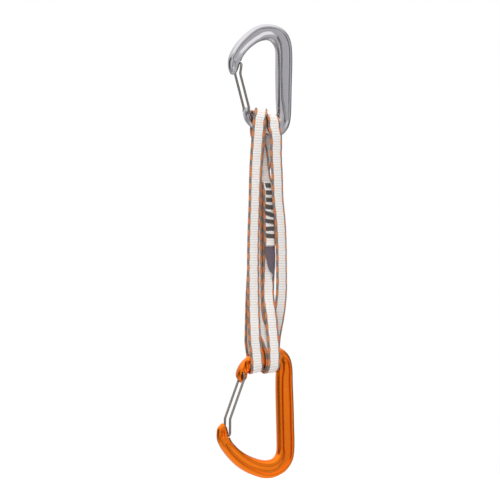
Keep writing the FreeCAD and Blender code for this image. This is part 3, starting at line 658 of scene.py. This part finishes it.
def arch_rows(bight, upwards):
    """Sections round the bar from the front leg to the back leg; the weft stays in line with the bar."""
    x, face_z, slope, front_drift, back_drift, depth = bight
    radius = depth * LAYER
    across = np.array((1.0, 0, slope)) / math.hypot(1, slope)
    steady = (back_drift - front_drift) / 2
    growing = (back_drift + front_drift) / 2
    rows = []
    for step in range(ARCH_STEPS + 1):
        angle = math.pi * step / ARCH_STEPS
        place = 2 * step / ARCH_STEPS - 1
        shift = steady * place + growing * place ** 2
        radial = np.array((0, -math.cos(angle), upwards * math.sin(angle)))
        centre_z = face_z - upwards * (radius - TAPE_THICKNESS / 2) + slope * shift
        centre = np.array((x + shift, 0, centre_z)) + radial * radius
        rows.append([*centre, *across, *radial])
    return rows


def bight_rows(bight, joins, upwards, cut):
    """Sections from the cut on the front strand, round the bar, to the cut on the back strand."""
    legs = []
    for name in joins:
        edge = STRANDS[name][0][0] if upwards > 0 else STRANDS[name][-1][0]
        heights = np.append(np.linspace(edge, cut, LEG_SECTIONS), cut - upwards * CUT_OVERRUN)
        legs.append([strand_section(name, z) for z in heights])
    front = [[*row[:6], *(-np.array(row[6:]))] for row in legs[0]][::-1]
    return front + arch_rows(bight, upwards) + legs[1]


def fine_rows(rows, first, last):
    """Close rows along a tape between two of its own rows, a fraction of a rib apart."""
    rows = np.array(rows, float)
    along = np.concatenate([[0], np.cumsum(np.linalg.norm(np.diff(rows[:, :3], axis=0), axis=1))])
    line = smooth_rows(along, rows)
    start, end = along[first], along[last]
    count = max(2, int(round((end - start) / ROW_STEP)))
    keys = np.linspace(start, end, count + 1)
    return np.array([line(key) for key in keys]), keys - start


def tape_profile():
    """The tape's cut end, counter-clockwise: place across and place through, closer in the stripes."""
    half, thick, edge = TAPE_WIDTH / 2, TAPE_THICKNESS / 2, EDGE_ROUND
    right = [0.0, 1.3, 2.4, 3.0, STRIPE_EDGE - 0.1, STRIPE_EDGE + 0.1, 3.8, 4.05, 4.35, half - edge]
    flat = np.concatenate([-np.array(right)[:0:-1], right])
    points = [(s, -thick) for s in flat]
    turn = [(math.cos(a), math.sin(a)) for a in np.linspace(-math.pi / 2, math.pi / 2, 9)[1:-1]]
    points += [(half - edge + edge * c, thick * s) for c, s in turn]
    points += [(s, thick) for s in flat[::-1]]
    points += [(-(half - edge) - edge * c, -thick * s) for c, s in turn]
    return np.array(points)


def relief(across, along):
    """Height of the weave over the plain tape: weft ribs in the middle, two warp cords in each stripe."""
    middle = np.clip((STRIPE_EDGE - np.abs(across)) / STRIPE_BLEND + 0.5, 0, 1)
    phase = np.abs(((along / RIB_PITCH) % 1.0) - 0.5) * 2
    rib = -RIB_DEPTH * np.clip((phase - RIB_FLAT) / (1 - RIB_FLAT), 0, 1) ** 1.5
    rib += RIB_SWELL * np.cos(math.pi * phase)
    from_edge = np.abs(across) - STRIPE_EDGE
    cord = -CORD_DEPTH * np.abs(np.cos(math.pi * (from_edge + 0.02) / CORD_PITCH)) ** 4
    pick = PICK_HEIGHT * np.cos(2 * math.pi * along / (RIB_PITCH / 2) + 2.0 * across)
    return middle * rib + (1 - middle) * (cord + pick) - RELIEF_SINK


def tape_piece(name, strips):
    """One piece of several strips of tape; each strip is its rows and its lengths along the band."""
    profile = tape_profile()
    ring = len(profile)
    s, t = profile[:, 0], profile[:, 1]
    points, faces, weave = [], [], []
    for rows, along in strips:
        faces += ring_faces(len(rows), ring, sum(len(grid) for grid in points))
        centre, across, outward = rows[:, None, 0:3], rows[:, None, 3:6], rows[:, None, 6:9]
        v = np.repeat(along[:, None], ring, axis=1)
        u = np.repeat(s[None, :], len(rows), axis=0)
        inside = np.clip((TAPE_WIDTH / 2 - np.abs(u)) / EDGE_ROUND, 0, 1)
        through = t[None, :] + np.sign(t)[None, :] * relief(u, v) * inside
        grid = centre + across * u[..., None] + outward * through[..., None]
        points.append(grid.reshape(-1, 3))
        weave.append(np.stack([u, v, through], axis=-1).reshape(-1, 3))
    return new_piece(name, np.concatenate(points), faces, np.concatenate(weave))


# The band is walked once round, so that its weave runs on from strip to strip: each strip's kind and name,
# and whether its own rows run with the walk.
WALK = [
    ("strand", "front_left", True), ("lower", "left", True), ("strand", "back_left", False),
    ("upper", "right", False), ("strand", "right", True), ("lower", "right", False),
    ("strand", "middle", False), ("upper", "inner", False), ("strand", "behind_left", True),
    ("lower", "inner", True), ("strand", "back_right", False), ("upper", "left", False),
]
BIGHTS = {
    "lower": (LOWER_BIGHTS, LOWER_JOINS, -1, LOWER_CUT),
    "upper": (UPPER_BIGHTS, UPPER_JOINS, 1, UPPER_CUT),
}
strips = {"strand": [], "lower": [], "upper": []}
walked = 0.0
for kind, name, with_walk in WALK:
    if kind == "strand":
        heights = np.linspace(UPPER_CUT + CUT_OVERRUN, LOWER_CUT - CUT_OVERRUN, STRAND_SECTIONS)
        rows = [strand_section(name, z) for z in heights]
        rows, along = fine_rows(rows, 0, len(rows) - 1)
        keep = (rows[:, 2] <= UPPER_CUT + CUT_SNAP) & (rows[:, 2] >= LOWER_CUT - CUT_SNAP)
        rows, along = rows[keep], along[keep] - along[keep][0]
        rows[0, 2], rows[-1, 2] = UPPER_CUT, LOWER_CUT
    else:
        bights, joins, upwards, cut = BIGHTS[kind]
        rows = bight_rows(bights[name], joins[name], upwards, cut)
        rows, along = fine_rows(rows, 1, len(rows) - 2)
    strips[kind].append((rows, walked + (along if with_walk else along[-1] - along)))
    walked += along[-1]

upper_tape = tape_piece("sling_tape_upper_bights", strips["upper"])
middle_tape = tape_piece("sling_tape_strands", strips["strand"])
lower_tape = tape_piece("sling_tape_lower_bights", strips["lower"])

# Woven polyethylene: slippery white filament that takes no dye, so it stays white with a soft lustre; the
# grey between the ribs is painted shade in the grooves. The dyed yarns of the stripes float for 4.3 mm in
# every 9.2 mm, first orange and then grey, and the two cords of a stripe are a little out of step. The
# weave's coordinates are in millimetres, and a diagonal wave of scale 1 has its lines 0.44429 apart.
FLOAT_PITCH = 9.2
WAVE_STEP = 0.44429
woven_tape = new_material("woven_polyethylene_tape")
weave_place = add(woven_tape, "Attribute", attribute_name="weave")
weave_axes = add(woven_tape, "SeparateXYZ", {"Vector": weave_place.outputs["Vector"]})
fibres = add(woven_tape, "TexNoise", {
    "Vector": weave_place.outputs["Vector"], "Scale": 1 / 0.625, "Detail": 4.0, "Roughness": 0.65})
ragged = add(woven_tape, "MapRange", {"Value": fibres, "To Min": -1.1, "To Max": 1.1})
side = add(woven_tape, "Math", {0: weave_axes.outputs["X"]}, operation="ABSOLUTE")
outer_cord = add(woven_tape, "MapRange", {
    "Value": side, "From Min": 4.45, "From Max": 4.6, "To Min": -0.35, "To Max": 0.45})
step_place = add(woven_tape, "Math", {0: weave_axes.outputs["Y"], 1: outer_cord}, operation="ADD")
rough_place = add(woven_tape, "Math", {0: step_place, 1: ragged}, operation="ADD")
float_angle = add(woven_tape, "Math", {0: rough_place, 1: 2 * math.pi / FLOAT_PITCH}, operation="MULTIPLY")
float_wave = add(woven_tape, "Math", {0: float_angle}, operation="SINE")
is_orange = add(woven_tape, "MapRange", {"Value": float_wave, "From Min": -0.06, "From Max": 0.22})
stripe_start = add(woven_tape, "MapRange", {
    "Value": float_wave, "From Min": -1.0, "From Max": 1.0, "To Min": 0.26, "To Max": -0.14})
stripe_place = add(woven_tape, "Math", {0: side, 1: stripe_start}, operation="SUBTRACT")
in_stripe = add(woven_tape, "MapRange", {
    "Value": stripe_place, "From Min": STRIPE_EDGE - 0.05, "From Max": STRIPE_EDGE + 0.2})
stripe_colour = add(woven_tape, "Mix", {
    0: is_orange, 6: linear("#7A6C66"), 7: linear("#C27A4C")}, data_type="RGBA")
# Painted shade: the white is greyed in the weft grooves between the ribs, where shade falls.
rib_angle = add(woven_tape, "Math", {
    0: weave_axes.outputs["Y"], 1: 2 * math.pi / RIB_PITCH}, operation="MULTIPLY")
rib_wave = add(woven_tape, "Math", {0: rib_angle}, operation="COSINE")
painted_groove_shade = add(woven_tape, "MapRange", {"Value": rib_wave, "From Min": 0.35, "From Max": 1.0, "To Max": 0.75})
white_and_groove_shade = add(woven_tape, "Mix", {
    0: painted_groove_shade, 6: linear("#E9E5E1"), 7: linear("#C9C0BA")}, data_type="RGBA")
tape_colour = add(woven_tape, "Mix", {
    0: in_stripe, 6: white_and_groove_shade.outputs[2], 7: stripe_colour.outputs[2]}, data_type="RGBA")
lint = add(woven_tape, "MapRange", {
    "Value": fibres, "From Min": 0.3, "From Max": 0.7, "To Min": 0.86, "To Max": 1.06})
shaded_tape = add(woven_tape, "VectorMath", {0: tape_colour.outputs[2], 3: lint}, operation="SCALE")
yarn_lines = add(woven_tape, "TexWave", {
    "Vector": weave_place.outputs["Vector"], "Scale": WAVE_STEP / 0.8078, "Distortion": 1.5,
    "Detail": 2.0}, bands_direction="DIAGONAL")
tape_bump = add(woven_tape, "Bump", {
    "Height": yarn_lines.outputs["Fac"], "Strength": 0.35, "Distance": 0.08 * MM})
cloth = add(woven_tape, "BsdfPrincipled", {
    "Base Color": shaded_tape, "Roughness": 0.62, "Sheen Weight": 0.25, "Sheen Roughness": 0.4,
    "Normal": tape_bump})
add(woven_tape, "OutputMaterial", {"Surface": cloth})
for tape in (upper_tape, middle_tape, lower_tape):
    tape.data.materials.append(woven_tape)
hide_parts(*["sling_upper_bight_" + name for name in UPPER_BIGHTS], "sling_upper_flex")
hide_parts(*["sling_strand_" + name for name in STRANDS],
            *["sling_strand_end_" + name for name in STRANDS])
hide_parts(*["sling_lower_bight_" + name for name in LOWER_BIGHTS], "sling_lower_flex")
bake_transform(upper_tape)
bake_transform(middle_tape)
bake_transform(lower_tape)

# ---- sewn splice -------------------------------------------------------------------------------------
# The band's two ends lie one on the other for 50 mm on the middle strand. The top end is heat-cut, so its
# edge is a hard line, and it is sewn down by eight bar tacks.
SPLICE_TOP = -112.0
SPLICE_BOTTOM = -162.0
SPLICE_SECTIONS = 12
SEWN_GAP = 0.05
# How far the weave of the end on top is out of step with the strand under it.
SPLICE_SHIFT = 3.0


def over_middle(z, lift):
    """A section of something sewn on the front of the middle strand, its face raised from the strand's."""
    row = np.array(strand_section("middle", z))
    row[0:3] -= row[6:9] * lift
    return row


splice_heights = np.linspace(SPLICE_TOP, SPLICE_BOTTOM, SPLICE_SECTIONS)
splice_rows = [over_middle(z, TAPE_THICKNESS + SEWN_GAP) for z in splice_heights]
splice_rows, splice_along = fine_rows(splice_rows, 0, len(splice_rows) - 1)
splice = tape_piece("sling_tape_splice", [(splice_rows, splice_along + SPLICE_SHIFT)])
splice.data.materials.append(woven_tape)
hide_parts("splice_overlap")
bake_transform(splice)

# ---- bar tacks ---------------------------------------------------------------------------------------
# Eight dense zigzags of dark grey polyamide thread through both layers. The stitches run along the tape,
# lie side by side and pull into it a little, so each tack is a corded patch with a scalloped edge.
TACK_PITCH = 5.7
TACK_FIRST = -112.6
TACK_HEIGHT = 3.9
# Width of each tack from the top, and how far it slants down to the right, in degrees.
TACKS = [(4.6, 0), (5.8, 0), (6.4, 2), (7.6, 6), (7.8, 15), (7.6, 8), (7.2, -3), (7.2, 4)]
STROKES = 40
THREAD_RADIUS = 0.19
THREAD_SIDES = 6
# How far a stroke dips into the tape at its turn and stands up near it and halfway, and how far the lower
# turns wander along the tape. Then how much chance adds across the tape, to each turn and to the rise.
TURN_DIP, TURN_RISE, MIDDLE_RISE, SCALLOP = 0.28, 0.10, 0.17, 0.35
STRAY_ACROSS, STRAY_TURN, STRAY_RISE = 0.03, 0.14, 0.02


def tack_path(top, wide, slant, front, seed):
    """The thread of one tack: up and down strokes across the tape, dipping into it at each turn."""
    chance = np.random.default_rng(seed)
    path = []
    for stroke in range(STROKES + 1):
        across = wide * (stroke / STROKES - 0.5) + chance.normal(0, STRAY_ACROSS)
        low = stroke % 2
        end = -TACK_HEIGHT if low else 0.0
        end += chance.normal(0, STRAY_TURN) + (SCALLOP * math.sin(stroke * 0.8) if low else 0.0)
        near_end = end * 0.8 - 0.2 * TACK_HEIGHT * (1 - low)
        halfway = -TACK_HEIGHT / 2
        for height, rise in ((end, -TURN_DIP), (near_end, TURN_RISE), (halfway, MIDDLE_RISE)):
            shift = wide / STROKES * (0.5 if height == halfway else 0.0)
            drop = across * math.tan(math.radians(slant))
            path.append((across + shift, height - drop, rise + chance.normal(0, STRAY_RISE)))
    points = []
    for across, height, rise in path:
        row = np.array(strand_section("middle", top + height))
        lift = TAPE_THICKNESS * 1.5 + SEWN_GAP + rise if front else -(TAPE_THICKNESS / 2 + rise)
        points.append(row[0:3] + row[3:6] * across - row[6:9] * lift)
    return np.array(points)


def rounded_thread(points, step=0.25):
    """A smooth run of points through a thread's turns."""
    along = np.concatenate([[0], np.cumsum(np.linalg.norm(np.diff(points, axis=0), axis=1))])
    line = smooth_rows(along, points)
    return np.array([line(key) for key in np.linspace(0, along[-1], int(along[-1] / step))])


threads = []
for index, (wide, slant) in enumerate(TACKS):
    for front in (True, False):
        run = tack_path(TACK_FIRST - index * TACK_PITCH, wide, slant, front, 10 * index + front)
        threads.append(tube(rounded_thread(run), THREAD_RADIUS, THREAD_SIDES))
tacks = joined_piece("bar_tack_threads", threads)
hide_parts("bar_tacks")

# Polyamide thread: twisted filament with a dull shine; the twist is drawn at 0.7 mm so that it shows.
sewing_thread = new_material("twisted_polyamide_thread")
thread_place = add(sewing_thread, "TexCoord")
twist = add(sewing_thread, "TexWave", {
    "Vector": thread_place.outputs["Object"], "Scale": WAVE_STEP / (0.7166 * MM),
    "Distortion": 2.0}, bands_direction="DIAGONAL")
thread_colour = add(sewing_thread, "Mix", {
    0: twist.outputs["Fac"], 6: linear("#3E3937"), 7: linear("#5A534F")}, data_type="RGBA")
thread_bump = add(sewing_thread, "Bump", {
    "Height": twist.outputs["Fac"], "Strength": 0.4, "Distance": 0.05 * MM})
thread_finish = add(sewing_thread, "BsdfPrincipled", {
    "Base Color": thread_colour.outputs[2], "Roughness": 0.55, "Sheen Weight": 0.2, "Normal": thread_bump})
add(sewing_thread, "OutputMaterial", {"Surface": thread_finish})
tacks.data.materials.append(sewing_thread)
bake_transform(tacks)

# ---- label -------------------------------------------------------------------------------------------
# A bare woven polyester tag, caught under the end of the splice at its top. It is folded over on itself
# along a slant, so it narrows to the right and ends in a thin tail; the loose part stands off the strand.
LABEL_TOP = -163.0
LABEL_THICKNESS = 0.5
# Down from the top, left edge, right edge (from the strand's middle line), lift of the face's middle.
LABEL_ROWS = [
    (0.0, -4.4, 4.6, 0.0), (3.0, -4.4, 4.7, 0.1), (7.0, -3.9, 4.8, 0.25), (10.2, -3.1, 4.8, 0.4),
    (14.0, -2.1, 4.7, 0.5), (17.9, -0.7, 4.5, 0.5), (20.0, 1.0, 4.3, 0.4), (21.2, 2.4, 4.2, 0.35),
    (24.0, 2.8, 4.0, 0.25), (27.0, 3.0, 3.8, 0.1),
]
label_line = smooth_rows([row[0] for row in LABEL_ROWS], [row[1:] for row in LABEL_ROWS])
LABEL_COLUMNS = 16
LABEL_LINES = 82
LABEL_CURL = 0.35
LABEL_RIPPLE = 0.10


def label_piece(name):
    """A thin cloth strip between its edges, curled a little at both of them."""
    columns, down = LABEL_COLUMNS, np.linspace(0, LABEL_ROWS[-1][0], LABEL_LINES)
    sheets = {1: [], -1: []}
    weave = {1: [], -1: []}
    for depth in down:
        left, right, lift = label_line(depth)
        for column in range(columns + 1):
            share = column / columns
            across = left + (right - left) * share
            curl = LABEL_CURL * (2 * share - 1) ** 4 * min(1.0, depth / 6)
            ripple = LABEL_RIPPLE * math.sin(across * 1.3 + depth * 0.5) * min(1.0, depth / 8)
            for face in (1, -1):
                thick = LABEL_THICKNESS / 2 * (1 - 0.7 * abs(2 * share - 1) ** 12)
                rest = TAPE_THICKNESS / 2 + SEWN_GAP + LABEL_THICKNESS / 2
                row = over_middle(LABEL_TOP - depth, rest + lift + curl + ripple + face * thick)
                sheets[face].append(row[0:3] + row[3:6] * across)
                weave[face].append((across, depth, face * thick))
    wide = columns + 1
    other = len(sheets[1])
    faces = []
    for row in range(len(down) - 1):
        for column in range(columns):
            a = row * wide + column
            faces.append((a, a + 1, a + wide + 1, a + wide))
            faces.append((other + a, other + a + wide, other + a + wide + 1, other + a + 1))
        a, b = row * wide, row * wide + columns
        faces.append((a, a + wide, other + a + wide, other + a))
        faces.append((b, other + b, other + b + wide, b + wide))
    last = (len(down) - 1) * wide
    for column in range(columns):
        faces.append((column, other + column, other + column + 1, column + 1))
        faces.append((last + column, last + column + 1, other + last + column + 1, other + last + column))
    return new_piece(name, np.array(sheets[1] + sheets[-1]), faces, np.array(weave[1] + weave[-1]))


label = label_piece("bare_label")
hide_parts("label")

# Damask-woven polyester: very fine twill with a dull face; its lines are drawn 0.7 mm apart, coarser than
# the real threads, so that they show.
damask = new_material("damask_woven_polyester")
label_place = add(damask, "Attribute", attribute_name="weave")
twill = add(damask, "TexWave", {
    "Vector": label_place.outputs["Vector"], "Scale": WAVE_STEP / 0.7166,
    "Distortion": 0.4}, bands_direction="DIAGONAL")
label_fuzz = add(damask, "TexNoise", {
    "Vector": label_place.outputs["Vector"], "Scale": 1 / 2.0, "Detail": 5.0})
twill_colour = add(damask, "Mix", {
    0: twill.outputs["Fac"], 6: linear("#4C424A"), 7: linear("#6C5F68")}, data_type="RGBA")
label_shade = add(damask, "MapRange", {"Value": label_fuzz, "To Min": 0.75, "To Max": 1.25})
label_colour = add(damask, "VectorMath", {0: twill_colour.outputs[2], 3: label_shade}, operation="SCALE")
label_bump = add(damask, "Bump", {"Height": twill.outputs["Fac"], "Strength": 0.3, "Distance": 0.05 * MM})
label_finish = add(damask, "BsdfPrincipled", {
    "Base Color": label_colour, "Roughness": 0.7, "Sheen Weight": 0.3, "Normal": label_bump})
add(damask, "OutputMaterial", {"Surface": label_finish})
label.data.materials.append(damask)
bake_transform(label)

# ---- studio ------------------------------------------------------------------------------------------
# A pale sweep behind and under the part, a dim room at its sides; soft boxes at the left front, above and
# behind. The metal mirrors the room and the sweep, not the boxes, so its highlights stay soft.
scene = bpy.context.scene
scene.view_settings.view_transform = "Standard"
VIEW_AZIMUTH = math.radians(-28)
VIEW_HEIGHT = 0.395
VIEW_DISTANCE = 3.0
VIEW_RIGHT, VIEW_UP = -13.4, -165.6
SENSOR = 36
right_hand = Vector((math.cos(VIEW_AZIMUTH), math.sin(VIEW_AZIMUTH), 0))
ahead = Vector((-math.sin(VIEW_AZIMUTH), math.cos(VIEW_AZIMUTH), 0))
camera_data = bpy.data.cameras.new("camera")
camera = new_object("camera", camera_data)
target = right_hand * VIEW_RIGHT * MM + Vector((0, 0, VIEW_UP * MM))
camera.location = target - ahead * VIEW_DISTANCE
camera.rotation_euler = (math.radians(90), 0, VIEW_AZIMUTH)
camera_data.sensor_width = SENSOR
camera_data.lens = SENSOR * VIEW_DISTANCE / VIEW_HEIGHT
scene.camera = camera

FLOOR_Z = -0.42
FLOOR_RADIUS = 1.3
floor_mesh = bpy.data.meshes.new("floor")
turns = np.linspace(0, 2 * math.pi, 97)[:-1]
rim = [(FLOOR_RADIUS * math.cos(a), FLOOR_RADIUS * math.sin(a), FLOOR_Z) for a in turns]
floor_mesh.from_pydata(rim, [], [tuple(range(len(rim)))])
floor = new_object("floor", floor_mesh)
pale_floor = new_material("pale_floor")
floor_rays = add(pale_floor, "LightPath")
floor_seen = add(pale_floor, "Math", {
    0: floor_rays.outputs["Is Camera Ray"],
    1: floor_rays.outputs["Is Transmission Ray"]}, operation="MAXIMUM")
floor_matt = add(pale_floor, "BsdfDiffuse", {"Color": linear("#F2F2F2")})
floor_lift = add(pale_floor, "Math", {0: floor_seen, 1: 0.5}, operation="MULTIPLY")
floor_glow = add(pale_floor, "Emission", {"Color": (1, 1, 1, 1), "Strength": floor_lift})
floor_sum = add(pale_floor, "AddShader", {0: floor_matt, 1: floor_glow})
# What the metal mirrors of the floor: white under the part, greyer away from it.
floor_place = add(pale_floor, "TexCoord")
floor_reach = add(pale_floor, "VectorMath", {
    0: floor_place.outputs["Object"], 1: (0, 0, FLOOR_Z)}, operation="DISTANCE")
floor_fade = add(pale_floor, "MapRange", {
    "Value": floor_reach.outputs["Value"], "From Min": 0.12, "From Max": 0.35, "To Min": 0.9, "To Max": 0.4})
floor_mirrored = add(pale_floor, "Emission", {"Color": (1, 1, 1, 1), "Strength": floor_fade})
floor_mix = add(pale_floor, "MixShader", {
    0: floor_rays.outputs["Is Glossy Ray"], 1: floor_sum, 2: floor_mirrored})
add(pale_floor, "OutputMaterial", {"Surface": floor_mix})
floor_mesh.materials.append(pale_floor)

world = bpy.data.worlds.new("studio")
scene.world = world
world.use_nodes = True
world.node_tree.nodes.clear()
world_place = add(world, "TexCoord")
behind = add(world, "VectorMath", {
    0: world_place.outputs["Generated"], 1: tuple(ahead)}, operation="DOT_PRODUCT")
beside = add(world, "VectorMath", {
    0: world_place.outputs["Generated"], 1: tuple(right_hand)}, operation="DOT_PRODUCT")
world_axes = add(world, "SeparateXYZ", {"Vector": world_place.outputs["Generated"]})
turn_round = add(world, "Math", {0: beside.outputs["Value"], 1: behind.outputs["Value"]}, operation="ARCTAN2")
turn_share = add(world, "MapRange", {"Value": turn_round, "From Min": -math.pi, "From Max": math.pi})
room = add(world, "ValToRGB", {"Fac": turn_share})
# Degrees to the right of straight behind the part, and how bright the room is there.
ROOM = [(-180, 0.75), (-150, 0.75), (-137, 0.1), (-86, 0.1), (-76, 0.7), (-35, 0.7), (-15, 1.0), (5, 1.0),
        (16, 0.1), (86, 0.1), (109, 0.58), (142, 0.58), (155, 0.75)]
stops = room.color_ramp.elements
while len(stops) < len(ROOM):
    stops.new(1.0)
for stop, (degrees, level) in zip(stops, ROOM):
    stop.position = degrees / 360 + 0.5
    stop.color = (level, level, level, 1)
ceiling = add(world, "MapRange", {
    "Value": world_axes.outputs["Z"], "From Min": 0.35, "From Max": 0.7}, interpolation_type="SMOOTHSTEP")
whole_room = add(world, "Mix", {0: ceiling, 6: room, 7: (1.25, 1.25, 1.25, 1)}, data_type="RGBA")
world_rays = add(world, "LightPath")
room_light = add(world, "Background", {"Color": (0.45, 0.45, 0.46, 1), "Strength": 1.0})
room_shine = add(world, "Background", {"Color": whole_room.outputs[2], "Strength": 1.0})
backdrop = add(world, "Background", {"Color": (1, 1, 1, 1), "Strength": 1.0})
shining = add(world, "MixShader", {0: world_rays.outputs["Is Glossy Ray"], 1: room_light, 2: room_shine})
plain_seen = add(world, "Math", {
    0: world_rays.outputs["Is Camera Ray"],
    1: world_rays.outputs["Is Transmission Ray"]}, operation="MAXIMUM")
world_mix = add(world, "MixShader", {0: plain_seen, 1: shining, 2: backdrop})
add(world, "OutputWorld", {"Surface": world_mix})

PART_MIDDLE = Vector((0, 0, -0.17))


def soft_box(name, place, size, power, mirrored=True):
    """A lamp that faces the middle of the part; its sizes are in metres and its power in watts."""
    data = bpy.data.lights.new(name, "AREA")
    data.shape = "RECTANGLE"
    data.size, data.size_y = size
    data.energy = power
    lamp = new_object(name, data)
    lamp.location = place
    lamp.rotation_euler = (PART_MIDDLE - Vector(place)).to_track_quat("-Z", "Y").to_euler()
    lamp.visible_camera = False
    lamp.visible_glossy = mirrored


soft_box("key", (-1.55, -1.3, 1.25), (1.5, 1.5), 28, False)
soft_box("above", (0.0, -0.5, 1.4), (1.2, 0.8), 17, False)
soft_box("behind", (1.3, 1.5, 0.9), (1.5, 1.5), 20, False)
soft_box("low_card", (0.38, -0.72, -0.32), (0.5, 0.3), 0.12)
